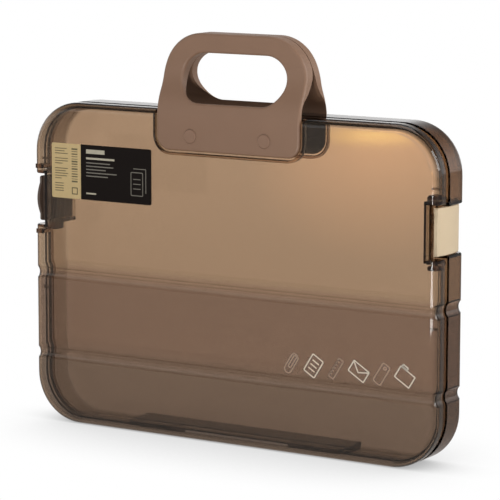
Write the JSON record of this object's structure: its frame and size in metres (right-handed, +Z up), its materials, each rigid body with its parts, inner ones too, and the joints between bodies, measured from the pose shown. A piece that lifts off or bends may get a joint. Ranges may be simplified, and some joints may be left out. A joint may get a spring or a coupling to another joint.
{
  "type": "portable file box",
  "caption": "Clear clamshell case for papers, with a split carry handle, bottom hinge and a swinging latch on each side.",
  "frame": {"origin": "middle of the base, on the floor and at mid depth", "axes": "+X across the width, +Y from the front cover to the rear shell, +Z up to the handle"},
  "size_m": [0.35, 0.0428, 0.304],
  "materials": {
    "clear_brown": "clear brown, glossy, moulded",
    "handle_taupe": "satin taupe, moulded",
    "rivet_taupe": "satin taupe, moulded",
    "latch_beige": "satin beige, moulded",
    "pin_steel": "drawn wire",
    "label_cream": "printed cream paper",
    "label_dark": "printed near-black paper"
  },
  "bodies": {
    "case": {"rear_shell": "clear_brown", "rear_handle": "handle_taupe", "rear_handle_rivets": "rivet_taupe", "right_latch_pin": "pin_steel", "left_latch_pin": "pin_steel", "right_hinge_pin": "pin_steel", "left_hinge_pin": "pin_steel"},
    "cover": {"front_cover": "clear_brown", "front_handle": "handle_taupe", "front_handle_rivets": "rivet_taupe", "label_cream_panel": "label_cream", "label_dark_panel": "label_dark"},
    "right_latch": {"right_latch": "latch_beige"},
    "left_latch": {"left_latch": "latch_beige"}
  },
  "joints": [
    {"name": "cover_hinge", "type": "hinge", "parent": "case", "child": "cover", "pos_m": [0, -0.00555, 0.0022], "axis": [1, 0, 0], "range_deg": [0, 100]},
    {"name": "right_latch_hinge", "type": "hinge", "parent": "case", "child": "right_latch", "pos_m": [0.1691, 0.0152, 0.1724], "axis": [0, 0, 1], "range_deg": [0, 100]},
    {"name": "left_latch_hinge", "type": "hinge", "parent": "case", "child": "left_latch", "pos_m": [-0.1691, 0.0152, 0.1724], "axis": [0, 0, -1], "range_deg": [0, 100]}
  ]
}
